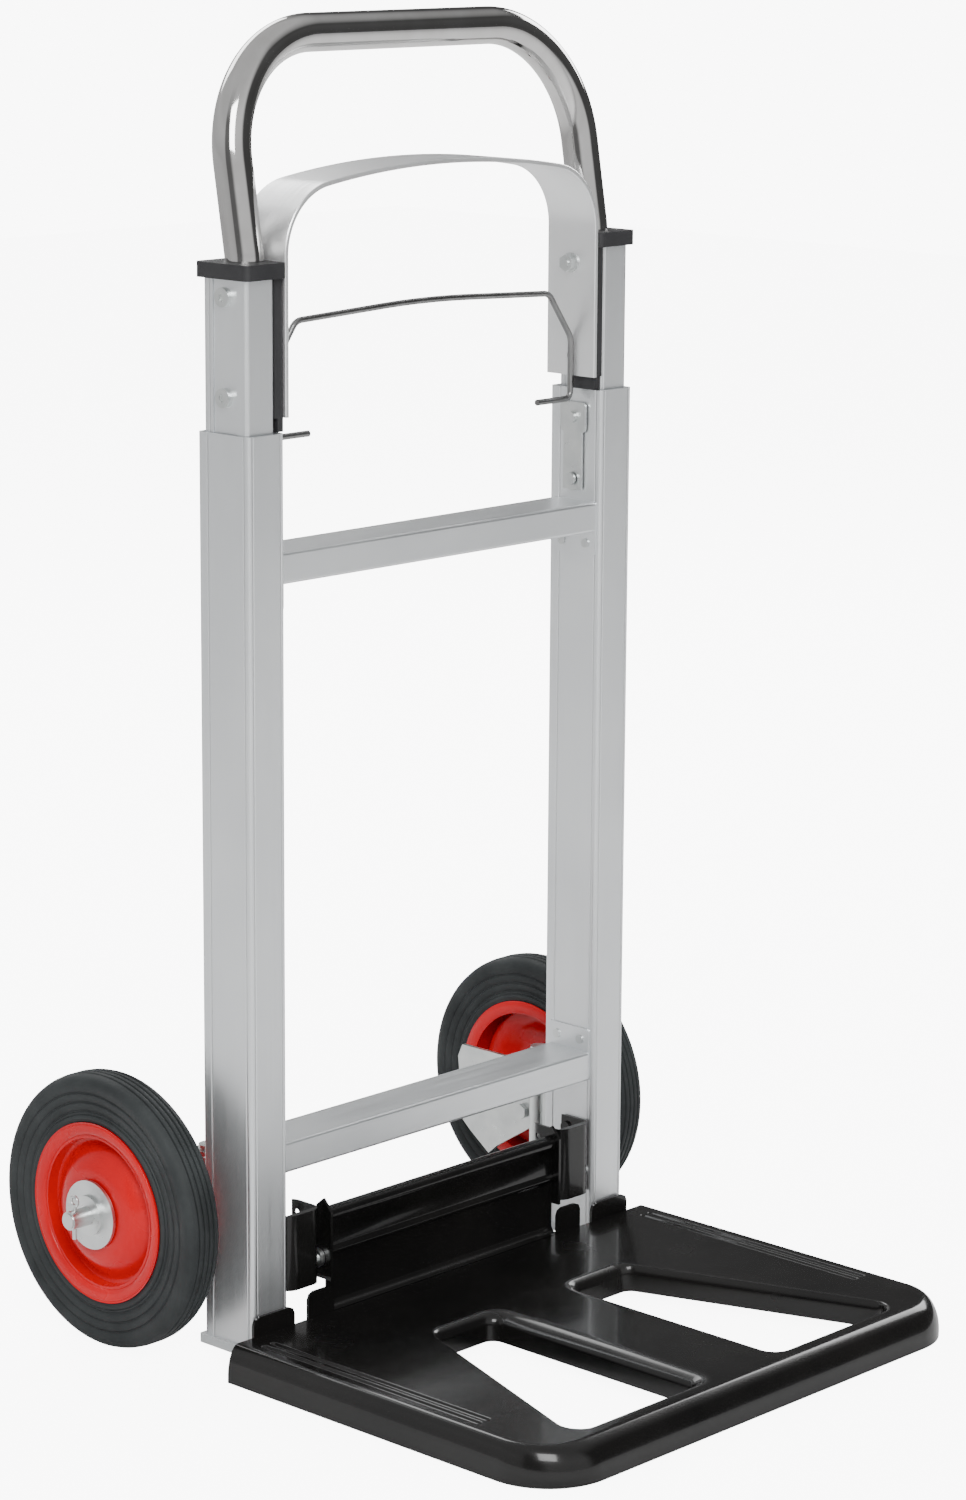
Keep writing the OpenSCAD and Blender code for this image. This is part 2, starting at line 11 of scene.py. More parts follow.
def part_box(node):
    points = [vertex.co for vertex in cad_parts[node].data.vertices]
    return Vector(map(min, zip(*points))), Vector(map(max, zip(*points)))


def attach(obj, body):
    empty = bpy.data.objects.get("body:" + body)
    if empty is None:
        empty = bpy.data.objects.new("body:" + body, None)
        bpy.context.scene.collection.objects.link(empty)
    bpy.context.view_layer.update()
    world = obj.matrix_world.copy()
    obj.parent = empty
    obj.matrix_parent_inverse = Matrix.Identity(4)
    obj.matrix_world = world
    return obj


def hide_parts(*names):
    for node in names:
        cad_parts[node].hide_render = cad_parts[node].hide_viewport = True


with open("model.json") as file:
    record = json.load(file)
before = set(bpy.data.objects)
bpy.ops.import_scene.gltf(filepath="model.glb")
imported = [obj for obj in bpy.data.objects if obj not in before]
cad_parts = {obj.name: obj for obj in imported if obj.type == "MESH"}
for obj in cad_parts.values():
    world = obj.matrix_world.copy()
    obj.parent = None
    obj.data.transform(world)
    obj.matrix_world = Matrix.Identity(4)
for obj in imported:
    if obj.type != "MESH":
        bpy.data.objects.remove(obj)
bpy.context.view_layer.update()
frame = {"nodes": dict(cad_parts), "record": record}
MM = 0.001

# The rails' front face and the toe plate's top are the two planes that the pressed pieces start from.
(RAIL_IN, RAIL_FRONT), (RAIL_OUT, RAIL_REAR) = (corner[:2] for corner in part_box("right_outer_rail"))
TOE_LOW, TOE_HIGH = (Vector(corner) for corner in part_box("toe_plate"))
TOE_TOP = 24 * MM


# ------------------------------------------------------------------ camera

def make_camera():
    """The photograph's viewpoint, about 2.7 m away, seen through a long lens."""
    azimuth, elevation, roll = (math.radians(a) for a in (-46.65, 12.26, 0.36))
    back = Vector((
        math.sin(azimuth) * math.cos(elevation),
        -math.cos(azimuth) * math.cos(elevation),
        math.sin(elevation),
    ))
    across = (-back).cross(Vector((0, 0, 1))).normalized()
    upright = across.cross(-back).normalized()
    right = math.cos(roll) * across + math.sin(roll) * upright
    up = math.cos(roll) * upright - math.sin(roll) * across
    turn = Matrix((right, up, back)).transposed().to_4x4()
    data = bpy.data.cameras.new("camera")
    data.sensor_fit = "HORIZONTAL"
    data.sensor_width = 36
    data.lens = 156.69
    data.clip_end = 50
    camera = bpy.data.objects.new("camera", data)
    place = Vector((-1.90468, -1.82936 + RAIL_FRONT, 0.9491))
    camera.matrix_world = Matrix.Translation(place) @ turn
    bpy.context.collection.objects.link(camera)
    bpy.context.scene.camera = camera


# ------------------------------------------------------------------ materials

def new_material(name, color, metallic, roughness, **sockets):
    """Principled material with its constants set straight on the shader."""
    material = bpy.data.materials.new(name)
    material.use_nodes = True
    shader = material.node_tree.nodes["Principled BSDF"]
    shader.inputs["Base Color"].default_value = (*color, 1)
    shader.inputs["Metallic"].default_value = metallic
    shader.inputs["Roughness"].default_value = roughness
    for socket, value in sockets.items():
        shader.inputs[socket.replace("_", " ")].default_value = value
    return material, shader


def noise(material, scale, detail=3, stretch=(1, 1, 1)):
    """Noise in object space, stretched along an axis by a small factor there."""
    nodes, links = material.node_tree.nodes, material.node_tree.links
    where = nodes.new("ShaderNodeTexCoord")
    mapping = nodes.new("ShaderNodeMapping")
    mapping.inputs["Scale"].default_value = stretch
    texture = nodes.new("ShaderNodeTexNoise")
    texture.inputs["Scale"].default_value = scale
    texture.inputs["Detail"].default_value = detail
    links.new(where.outputs["Object"], mapping.inputs["Vector"])
    links.new(mapping.outputs["Vector"], texture.inputs["Vector"])
    return texture.outputs["Fac"]


def vary(material, shader, fac, socket, low, high):
    """Drives one number of the shader by a texture, between two values."""
    nodes, links = material.node_tree.nodes, material.node_tree.links
    span = nodes.new("ShaderNodeMapRange")
    span.inputs["From Min"].default_value = 0.3
    span.inputs["From Max"].default_value = 0.7
    span.inputs["To Min"].default_value = low
    span.inputs["To Max"].default_value = high
    links.new(fac, span.inputs["Value"])
    links.new(span.outputs["Result"], shader.inputs[socket])


def tint(material, shader, fac, dark, light):
    """Colour between two tones by a texture."""
    nodes, links = material.node_tree.nodes, material.node_tree.links
    ramp = nodes.new("ShaderNodeValToRGB")
    ramp.color_ramp.elements[0].position = 0.32
    ramp.color_ramp.elements[1].position = 0.68
    ramp.color_ramp.elements[0].color = (*dark, 1)
    ramp.color_ramp.elements[1].color = (*light, 1)
    links.new(fac, ramp.inputs["Fac"])
    links.new(ramp.outputs["Color"], shader.inputs["Base Color"])


def bump(material, shader, fac, depth, strength=1.0):
    """Surface relief of a real depth, in metres."""
    nodes, links = material.node_tree.nodes, material.node_tree.links
    relief = nodes.new("ShaderNodeBump")
    relief.inputs["Strength"].default_value = strength
    relief.inputs["Distance"].default_value = depth
    links.new(fac, relief.inputs["Height"])
    links.new(relief.outputs["Normal"], shader.inputs["Normal"])


def grooves(material, shader, places, half_width, depth):
    """Fine upright lines on top of the shader's relief, at (axis, distance from the origin) places."""
    nodes, links = material.node_tree.nodes, material.node_tree.links
    where = nodes.new("ShaderNodeTexCoord")
    split = nodes.new("ShaderNodeSeparateXYZ")
    links.new(where.outputs["Object"], split.inputs["Vector"])
    height = None
    for axis, place in places:
        steps = [nodes.new("ShaderNodeMath") for _ in range(3)]
        for step, operation in zip(steps, ("ABSOLUTE", "SUBTRACT", "ABSOLUTE")):
            step.operation = operation
        steps[1].inputs[1].default_value = place
        links.new(split.outputs[axis], steps[0].inputs[0])
        links.new(steps[0].outputs["Value"], steps[1].inputs[0])
        links.new(steps[1].outputs["Value"], steps[2].inputs[0])
        span = nodes.new("ShaderNodeMapRange")
        span.interpolation_type = "SMOOTHSTEP"
        span.inputs["From Max"].default_value = half_width
        links.new(steps[2].outputs["Value"], span.inputs["Value"])
        if height is None:
            height = span.outputs["Result"]
        else:
            join = nodes.new("ShaderNodeMath")
            join.operation = "MULTIPLY"
            links.new(height, join.inputs[0])
            links.new(span.outputs["Result"], join.inputs[1])
            height = join.outputs["Value"]
    relief = nodes.new("ShaderNodeBump")
    relief.inputs["Distance"].default_value = depth
    links.new(height, relief.inputs["Height"])
    links.new(shader.inputs["Normal"].links[0].from_socket, relief.inputs["Normal"])
    links.new(relief.outputs["Normal"], shader.inputs["Normal"])


def anodised(name, along, lines_at=()):
    """Satin anodised aluminium with fine drawing lines along one axis."""
    material, shader = new_material(name, (0.8, 0.82, 0.83), 0.85, 0.34)
    stretch = [0.01 if axis == along else 1 for axis in "xyz"]
    lines = noise(material, 900, 2, stretch)
    cloud = noise(material, 9, 3)
    vary(material, shader, lines, "Roughness", 0.28, 0.4)
    tint(material, shader, cloud, (0.74, 0.76, 0.775), (0.82, 0.84, 0.85))
    bump(material, shader, lines, 0.04 * MM, 0.5)
    if lines_at:
        grooves(material, shader, lines_at, half_width=0.9 * MM, depth=0.5 * MM)
    return material


def chrome():
    """Bright chrome plate with a faint haze."""
    material, shader = new_material("chrome", (0.7, 0.69, 0.68), 1, 0.08)
    haze = noise(material, 40, 4)
    vary(material, shader, haze, "Roughness", 0.05, 0.11)
    tint(material, shader, haze, (0.56, 0.55, 0.54), (0.64, 0.635, 0.63))
    return material


def arch_metal():
    """Pale aluminium bar, finely lined from front to back."""
    material, shader = new_material("arch_metal", (0.78, 0.79, 0.8), 0.85, 0.36)
    lines = noise(material, 700, 2, (0.02, 1, 0.02))
    vary(material, shader, lines, "Roughness", 0.3, 0.44)
    tint(material, shader, noise(material, 14, 3), (0.82, 0.83, 0.835), (0.88, 0.885, 0.89))
    bump(material, shader, lines, 0.04 * MM, 0.4)
    return material


def zinc(name, dark, light):
    """Zinc plate with a soft spangle."""
    material, shader = new_material(name, light, 1, 0.3)
    spangle = noise(material, 160, 5)
    vary(material, shader, spangle, "Roughness", 0.27, 0.38)
    tint(material, shader, noise(material, 60, 4), dark, light)
    bump(material, shader, spangle, 0.03 * MM, 0.15)
    return material


def plastic(name, dark, light, roughness):
    """Moulded plastic with a fine grain."""
    material, shader = new_material(name, light, 0, roughness, Specular_IOR_Level=0.4)
    grain = noise(material, 1400, 2)
    vary(material, shader, noise(material, 30, 3), "Roughness", roughness - 0.06, roughness + 0.08)
    tint(material, shader, noise(material, 22, 4), dark, light)
    bump(material, shader, grain, 0.06 * MM, 0.6)
    return material


def enamel(name, dark, light, roughness, gloss):
    """Gloss stove enamel with a faint orange peel."""
    material, shader = new_material(
        name, light, 0, roughness, Coat_Weight=gloss, Coat_Roughness=0.08, Specular_IOR_Level=0.25
    )
    peel = noise(material, 330, 2)
    vary(material, shader, noise(material, 18, 4), "Roughness", roughness - 0.04, roughness + 0.08)
    tint(material, shader, noise(material, 12, 4), dark, light)
    bump(material, shader, peel, 0.05 * MM, 0.35)
    return material


def rubber():
    """Dull charcoal rubber with a dusty grain."""
    material, shader = new_material("rubber", (0.05, 0.054, 0.057), 0, 0.62, Specular_IOR_Level=0.22)
    grain = noise(material, 900, 4)
    vary(material, shader, noise(material, 40, 4), "Roughness", 0.5, 0.72)
    tint(material, shader, noise(material, 26, 5), (0.022, 0.025, 0.026), (0.04, 0.045, 0.046))
    bump(material, shader, grain, 0.12 * MM, 0.6)
    return material


# Lengthwise lines near the outer rails' corners
RAIL_LINES = (
    ("X", RAIL_IN + 3.6 * MM), ("X", RAIL_OUT - 3.6 * MM),
    ("Y", RAIL_FRONT + 4.4 * MM), ("Y", RAIL_REAR - 9 * MM),
)
RAIL = anodised("anodised_upright", "z", RAIL_LINES)
BAR = anodised("anodised_crossbar", "x")
# The bail wire's zinc, darkened far below the other zinc parts: painted shade standing in for the dark
# reflections on the wire
PAINTED_DARK_WIRE = zinc("zinc_wire_painted_shade", (0.2, 0.2, 0.2), (0.3, 0.3, 0.3))

NODE_MATERIALS = {
    "anodised": RAIL,
    "chrome": chrome(),
    "arch_metal": arch_metal(),
    "zinc": zinc("zinc", (0.6, 0.62, 0.62), (0.71, 0.73, 0.72)),
    "black_plastic": plastic("black_plastic", (0.018, 0.018, 0.02), (0.03, 0.03, 0.032), 0.5),
    "grey_plastic": plastic("grey_plastic", (0.5, 0.52, 0.53), (0.62, 0.64, 0.65), 0.45),
    "black_enamel": enamel("black_enamel", (0.004, 0.004, 0.004), (0.009, 0.0085, 0.008), 0.2, 0.4),
    "red_enamel": enamel("red_enamel", (0.55, 0.0, 0.004), (0.72, 0.002, 0.008), 0.26, 0.12),
    "tyre": rubber(),
}


def dress_nodes():
    """Gives each CAD node the procedural material of its slot."""
    slots = {part["node"]: part["material_slot"] for part in frame["record"]["subparts"]}
    for name, obj in frame["nodes"].items():
        material = BAR if "crossbar" in name and "rivet" not in name else NODE_MATERIALS[slots[name]]
        if not obj.material_slots:
            obj.data.materials.append(material)
        for held in obj.material_slots:
            held.material = material


# ------------------------------------------------------------------ mesh helpers

def add_piece(name, verts, faces, body, slot, smooth_angle, nodes=(), material=None):
    """Makes a mesh piece that rides on a body and may stand for CAD nodes, in its slot's material."""
    mesh = bpy.data.meshes.new(name)
    mesh.from_pydata([tuple(v) for v in verts], [], faces)
    mesh.validate()
    shape = bmesh.new()
    shape.from_mesh(mesh)
    bmesh.ops.remove_doubles(shape, verts=shape.verts, dist=1e-6)
    bmesh.ops.recalc_face_normals(shape, faces=shape.faces)
    for face in shape.faces:
        face.smooth = True
    limit = math.radians(smooth_angle)
    for edge in shape.edges:
        edge.smooth = len(edge.link_faces) == 2 and edge.calc_face_angle(0) < limit
    shape.to_mesh(mesh)
    shape.free()
    mesh.materials.append(material or NODE_MATERIALS[slot])
    piece = bpy.data.objects.new(name, mesh)
    bpy.context.collection.objects.link(piece)
    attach(piece, body)
    if nodes:
        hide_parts(*nodes)
    return piece


def thicken(piece, thickness):
    """Gives sheet metal its thickness on the hidden side."""
    bpy.context.view_layer.objects.active = piece
    solid = piece.modifiers.new("sheet", "SOLIDIFY")
    solid.thickness = thickness
    solid.offset = -1
    solid.use_even_offset = True


def in_metres(points):
    """Points of a profile that is written in millimetres."""
    return [(a * MM, b * MM) for a, b in points]


def lathe(profile, centre, sides):
    """Turns a closed profile of (x, radius) about an axis along X."""
    verts, faces = [], []
    count = len(profile)
    for i in range(sides):
        angle = 2 * math.pi * i / sides
        for x, r in profile:
            verts.append(centre + Vector((x, r * math.cos(angle), r * math.sin(angle))))
        after = (i + 1) % sides
        for k in range(count):
            k2 = (k + 1) % count
            faces.append((i * count + k, after * count + k, after * count + k2, i * count + k2))
    return verts, faces


def arc(centre, radius, start, end, steps):
    """Points of an arc in a plane, with its angles in degrees."""
    out = []
    for i in range(steps + 1):
        angle = math.radians(start + (end - start) * i / steps)
        out.append((centre[0] + radius * math.cos(angle), centre[1] + radius * math.sin(angle)))
    return out


def bridge(verts, faces, rings, closed):
    """Quads between rings of equal length; gives the index where each ring starts."""
    starts = []
    for ring in rings:
        starts.append(len(verts))
        verts.extend(ring)
    count = len(rings[0])
    last = count if closed else count - 1
    for a, b in zip(starts, starts[1:]):
        for k in range(last):
            k2 = (k + 1) % count
            faces.append((a + k, a + k2, b + k2, b + k))
    return starts


def mirrored(verts):
    """Points of the other side of the truck."""
    return [Vector((-v[0], v[1], v[2])) for v in verts]


def bent_line(corners, radii, steps):
    """Middle line through corner points, with each inner corner rounded to its bend radius."""
    line = [corners[0]]
    for before, corner, after, radius in zip(corners, corners[1:], corners[2:], radii):
        back, ahead = (before - corner).normalized(), (after - corner).normalized()
        half = back.angle(ahead) / 2
        middle = corner + (back + ahead).normalized() * radius / math.sin(half)
        first = corner + back * radius / math.tan(half) - middle
        last = corner + ahead * radius / math.tan(half) - middle
        sweep = first.angle(last)
        for i in range(steps + 1):
            t = i / steps
            arm = first * math.sin((1 - t) * sweep) + last * math.sin(t * sweep)
            line.append(middle + arm / math.sin(sweep))
    return line + [corners[-1]]


def swept(line, radius, sides):
    """Round bar along a line, closed at both ends; the rings don't twist."""
    rings = []
    normal = None
    for i, point in enumerate(line):
        tangent = (line[min(i + 1, len(line) - 1)] - line[max(i - 1, 0)]).normalized()
        normal = normal or tangent.orthogonal()
        normal = (normal - tangent * normal.dot(tangent)).normalized()
        across = tangent.cross(normal)
        angles = [2 * math.pi * k / sides for k in range(sides)]
        rings.append([point + radius * (normal * math.cos(a) + across * math.sin(a)) for a in angles])
    verts, faces = [], []
    starts = bridge(verts, faces, rings, True)
    faces += [tuple(range(starts[0], starts[0] + sides)), tuple(range(starts[-1], starts[-1] + sides))]
    return verts, faces


# ------------------------------------------------------------------ wheels

WHEEL_LOW, WHEEL_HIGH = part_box("right_tyre")
WHEEL_CENTRE = Vector([(low + high) / 2 for low, high in zip(WHEEL_LOW, WHEEL_HIGH)])
WHEEL_R = (WHEEL_HIGH[2] - WHEEL_LOW[2]) / 2
TYRE_HALF = (WHEEL_HIGH[0] - WHEEL_LOW[0]) / 2
RIM_R = 59 * MM
SHOULDER_R = 6.5 * MM

# Millimetres: how far outside the rim each sidewall ring lies, and one ring as (depth, distance outwards)
SIDEWALL_RINGS = (7, 13, 19)
RING_SHAPE = ((0.1, -2), (0, -1), (0.9, -0.3), (0.9, 0.3), (0, 1))
# Millimetres: the tread grooves' middles across the tyre, and one groove as (distance across, depth)
TREAD_GROOVES = (6.2, 2.1, -2.1, -6.2)
GROOVE_SHAPE = ((0.95, 0), (0.7, 0.2), (0.45, 1.5), (-0.45, 1.5), (-0.7, 0.2), (-0.95, 0))


def tyre_profile():
    """Solid rubber: ribbed tread, round shoulders, rings pressed into each sidewall."""
    half, top = TYRE_HALF, WHEEL_R
    side = [(half * 0.86, RIM_R - 1.4 * MM), (half * 0.9, RIM_R + 0.3 * MM)]
    side += [(half - 0.9 * MM, RIM_R + 0.5 * MM)]
    side += arc((half - 1.6 * MM, RIM_R + 3 * MM), 1.6 * MM, -60, 90, 5)
    for middle in SIDEWALL_RINGS:
        at, wall = RIM_R + middle * MM, half - (1.9 - 0.09 * middle) * MM
        side += [(wall - depth * MM, at + out * MM) for depth, out in RING_SHAPE]
    side += arc((half - SHOULDER_R, top - SHOULDER_R - 0.6 * MM), SHOULDER_R, 0, 62, 8)
    tread = []
    for middle in TREAD_GROOVES:
        crown = top - 0.4 * MM * (middle / TREAD_GROOVES[0]) ** 2
        tread += [(middle * MM + across * MM, crown - depth * MM) for across, depth in GROOVE_SHAPE]
        if middle != TREAD_GROOVES[-1]:
            tread.append((middle * MM - 2.05 * MM, top - 0.05 * MM))
    return side + tread + [(-x, r) for x, r in reversed(side)]


def rim_profile():
    """Pressed steel disc between two rolled flanges, dished outwards to the hub."""
    edge, rim = TYRE_HALF / MM + 0.4, RIM_R / MM
    bore, hub = 10.2, 13
    outer_flange = [(edge - 0.2, rim), *arc((edge - 1.2, rim - 2.2), 1.2, 60, 0, 4)]
    outer_flange += [(edge - 0.2, rim - 6), (edge - 1.2, rim - 8.4)]
    outer_flange += arc((edge - 7, rim - 9.6), 5, 10, -10, 3)
    dish = [(4, 48.2), (3.2, 46.4), (3.6, 44.4), (5.4, 42.4), (8.4, 39.5), (11.6, 36), (13.8, 32.4)]
    dish += [(15, 28.4), (15.5, 25)]
    barrel = [(15.5, bore), (-edge, bore), (-edge, hub), (12, hub)]
    behind = [(12.4, 25), (11, 31), (6, 38), (1.4, 43), (1, 49), (edge - 5, 51), (edge - 3.4, rim - 5.2)]
    behind += [(edge - 3.4, rim - 3.8), (3.4 - edge, rim - 3.8)]
    inner_flange = [(3.4 - edge, rim - 8), (1 - edge, rim - 9), (-edge, rim - 7), (-edge, rim - 0.6)]
    inner_flange += [(0.6 - edge, rim), (1.6 - edge, rim - 0.2)]
    seat = [(2.2 - edge, rim - 1.6), (edge - 2.2, rim - 1.6), (edge - 1.6, rim - 0.2)]
    return in_metres(outer_flange + dish + barrel + behind + inner_flange + seat)


def make_wheels():
    """Ribbed tyre and pressed rim on each side."""
    tyre = lathe(tyre_profile(), WHEEL_CENTRE, 160)
    rim = lathe(rim_profile(), WHEEL_CENTRE, 128)
    for side in ("right", "left"):
        flip = mirrored if side == "left" else list
        body = "wheel_" + side
        add_piece(side + "_tyre_ribbed", flip(tyre[0]), tyre[1], body, "tyre", 50, [side + "_tyre"])
        add_piece(side + "_rim_pressed", flip(rim[0]), rim[1], body, "red_enamel", 50, [side + "_rim"])


# ------------------------------------------------------------------ toe plate

PANEL_HALF = TOE_HIGH[0]
PANEL_FRONT = TOE_LOW[1]
PANEL_REAR = RAIL_FRONT - 3.4 * MM
CORNER_R = 45 * MM
SIDE_ROLL, FRONT_ROLL = 9 * MM, 14 * MM
HEM = 4 * MM
SHEET = 1.8 * MM
OPEN_R = 8 * MM
# Corner centres of the right-hand opening, in millimetres from the middle and in front of the rails
OPEN_CORNERS = [(47, 88), (86, 88), (142, 244), (47, 244)]
# Side beads, in millimetres: distances from the middle, ends from the rails' front, half-width and depth
BEADS_AT = (176, 183.5)
BEAD_ENDS = (-204, -20)
BEAD_HALF, BEAD_DEPTH = 2.6, 1.6


def rim_path():
    """The panel's edge from the left rear corner round the front: point, inward direction, roll width."""
    path = []
    along_side, round_corner, along_front = 12, 24, 20
    x, y = PANEL_HALF - CORNER_R, PANEL_FRONT + CORNER_R
    for i in range(along_side + 1):
        at = PANEL_REAR + (y - PANEL_REAR) * i / along_side
        path.append((Vector((-PANEL_HALF, at)), Vector((1, 0)), SIDE_ROLL))
    for i in range(1, round_corner + 1):
        angle = math.pi + math.pi / 2 * i / round_corner
        out = Vector((math.cos(angle), math.sin(angle)))
        blend = (1 - math.cos(math.pi * i / round_corner)) / 2
        path.append((Vector((-x, y)) + CORNER_R * out, -out, SIDE_ROLL + (FRONT_ROLL - SIDE_ROLL) * blend))
    left = list(path)
    for i in range(1, along_front):
        path.append((Vector((-x + 2 * x * i / along_front, PANEL_FRONT)), Vector((0, 1)), FRONT_ROLL))
    return path + [(Vector((-p[0], p[1])), Vector((-n[0], n[1])), w) for p, n, w in reversed(left)]


def panel_edge_rings():
    """Profile of the rolled edge: a short vertical hem, a quarter of an ellipse, a strip of the flat."""
    steps = [(0.0, 0.0), (0.0, HEM)]
    for i in range(1, 13):
        angle = math.pi / 2 * i / 12
        steps.append((1 - math.cos(angle), HEM + (TOE_TOP - HEM) * math.sin(angle)))
    steps.append((1.12, TOE_TOP))
    path = rim_path()
    return [[Vector((*(p + n * (w * inset)), z)) for p, n, w in path] for inset, z in steps]


def opening_ring(grow, z, side):
    """One loop round an opening, grown from the lip's lower edge and more so on the middle side."""
    radius = OPEN_R + grow
    lean = 0.6 * grow
    centres = [Vector((x * MM, RAIL_FRONT - y * MM)) for x, y in OPEN_CORNERS]
    loop = []
    count = len(centres)
    for i, centre in enumerate(centres):
        before = (centre - centres[i - 1]).normalized()
        after = (centres[(i + 1) % count] - centre).normalized()
        start = math.atan2(before[0], -before[1])
        end = math.atan2(after[0], -after[1])
        while end > start:
            end -= 2 * math.pi
        for k in range(9):
            angle = start + (end - start) * k / 8
            loop.append(centre + radius * Vector((math.cos(angle), math.sin(angle))))
    return [Vector((side * (p[0] - lean), p[1], z)) for p in loop]


def opening_rings(side):
    """Down-turned lip: a quarter round at the top, then a wall that leans into the opening."""
    roll, drop = 7 * MM, 8 * MM
    rings = [opening_ring(roll + 2.5 * MM, TOE_TOP, side)]
    for i in range(9):
        angle = math.pi / 2 * i / 8
        grow = 1 * MM + roll * (1 - math.sin(angle))
        rings.append(opening_ring(grow, TOE_TOP - drop * (1 - math.cos(angle)), side))
    rings.append(opening_ring(0, 6 * MM, side))
    return rings


def slot_loop(x, ends, radius, z):
    """Loop of a round-ended slot that runs front to back."""
    loop = []
    for turn, end in ((0, ends[1]), (math.pi, ends[0])):
        for k in range(13):
            angle = turn + math.pi * k / 12
            loop.append(Vector((x + radius * math.cos(angle), end + radius * math.sin(angle), z)))
    return loop


def bead_rings(x):
    """Pressed bead with soft sides: outer loop on the flat, inner loops lower down."""
    ends = [RAIL_FRONT + y * MM for y in BEAD_ENDS]
    rings = [slot_loop(x * MM, ends, (BEAD_HALF + 0.8) * MM, TOE_TOP)]
    for t in (0, 0.2, 0.4, 0.6, 0.8, 1):
        sunk = BEAD_DEPTH * MM * (3 * t * t - 2 * t ** 3)
        rings.append(slot_loop(x * MM, ends, BEAD_HALF * MM * (1 - 0.72 * t), TOE_TOP - sunk))
    return rings


def inside(point, loop):
    """True if a point lies within a loop, seen from above."""
    hits = 0
    for a, b in zip(loop, loop[1:] + loop[:1]):
        if (a.y > point.y) != (b.y > point.y) and point.x < a.x + (b.x - a.x) * (point.y - a.y) / (b.y - a.y):
            hits += 1
    return hits % 2 == 1


def flat_faces(verts, loops):
    """Triangles of the flat between its outline, the first loop, and its holes, the other loops."""
    index = [i for loop in loops for i in loop]
    edges, start = [], 0
    for loop in loops:
        count = len(loop)
        edges += [(start + k, start + (k + 1) % count) for k in range(count)]
        start += count
    _, _, triangles, origin, _, _ = delaunay_2d_cdt([verts[i].xy for i in index], edges, [], 0, 1e-9)
    borders = [[verts[i] for i in loop] for loop in loops]
    out = []
    for triangle in triangles:
        corners = [index[origin[k][0]] for k in triangle]
        middle = sum((verts[i] for i in corners), Vector()) / 3
        if inside(middle, borders[0]) and not any(inside(middle, hole) for hole in borders[1:]):
            out.append(tuple(corners))
    return out


def make_toe_panel():
    """Pressed panel: rolled edge, flat, two lipped openings and two beads along each side."""
    verts, faces = [], []
    edge = panel_edge_rings()
    starts = bridge(verts, faces, edge, False)
    loops = [list(range(starts[-1], starts[-1] + len(edge[-1])))]
    for side in (1, -1):
        rings = opening_rings(side)
        first = bridge(verts, faces, rings, True)[0]
        loops.append(list(range(first, first + len(rings[0]))))
        for x in BEADS_AT:
            rings = bead_rings(side * x)
            starts = bridge(verts, faces, rings, True)
            loops.append(list(range(starts[0], starts[0] + len(rings[0]))))
            faces.append(tuple(range(starts[-1], starts[-1] + len(rings[-1]))))
    faces += flat_faces(verts, loops)
    panel = add_piece("toe_plate_pressing", verts, faces, "toe_plate_body", "black_enamel", 35, ["toe_plate"])
    thicken(panel, SHEET)


def make_back_wall():
    """Wall behind the load: a fillet off the flat, a long bead, and a rolled top edge."""
    wall, half = RAIL_FRONT + 3 * MM, 106.8 * MM
    fillet, roll = 5 * MM, 5.5 * MM
    top = TOE_HIGH[2] - roll
    bead_at, bead_half, bead_depth = top - 24 * MM, 4 * MM, 1.9 * MM
    profile = [(PANEL_REAR - 1 * MM, TOE_TOP)]
    profile += [(wall - fillet + y, TOE_TOP + fillet + z) for y, z in arc((0, 0), fillet, -90, 0, 8)]
    for i in range(-5, 6):
        sunk = bead_depth * (1 + math.cos(math.pi * i / 5)) / 2
        profile.append((wall - sunk, bead_at + bead_half * i / 5))
    profile.append((wall, top - 5 * MM))
    profile += [(wall + 2.5 * MM + y, top + z) for y, z in arc((0, 0), roll, 200, -70, 20)]
    rings = [[Vector((half * x, y, z)) for y, z in profile] for x in (-1, -0.98, -0.5, 0, 0.5, 0.98, 1)]
    verts, faces = [], []
    bridge(verts, faces, rings, False)
    sheet = add_piece("toe_plate_back_wall", verts, faces, "toe_plate_body", "black_enamel", 50)
    thicken(sheet, 1.4 * MM)


# Millimetres: name, inner and outer side from the middle, and top of each flange
FLANGES = (("rail", 141, 177, 36), ("inner", 106, 129, 41))


def make_corner_flanges():
    """Upright flanges at the plate's rear edge, in front of each rail and beside it."""
    face, foot = RAIL_FRONT - 1.2 * MM, 18
    for side, hand in ((1, "right"), (-1, "left")):
        for name, x0, x1, top in FLANGES:
            loop = [(x0, foot), (x1, foot), (x1, top - 5), (x1 - 1.5, top - 1.5), (x1 - 5, top)]
            loop += [(x0 + 5, top), (x0 + 1.5, top - 1.5), (x0, top - 5)]
            verts = [Vector((side * x, y, z)) for y in (face - 2 * MM, face) for x, z in in_metres(loop)]
            count = len(loop)
            faces = [tuple(range(count)), tuple(range(2 * count - 1, count - 1, -1))]
            faces += [(k, (k + 1) % count, count + (k + 1) % count, count + k) for k in range(count)]
            add_piece("toe_flange_%s_%s" % (name, hand), verts, faces, "toe_plate_body", "black_enamel", 30)


# ------------------------------------------------------------------ handle, arch and release bail

RAIL_MIDDLE = RAIL_FRONT + 22.6 * MM


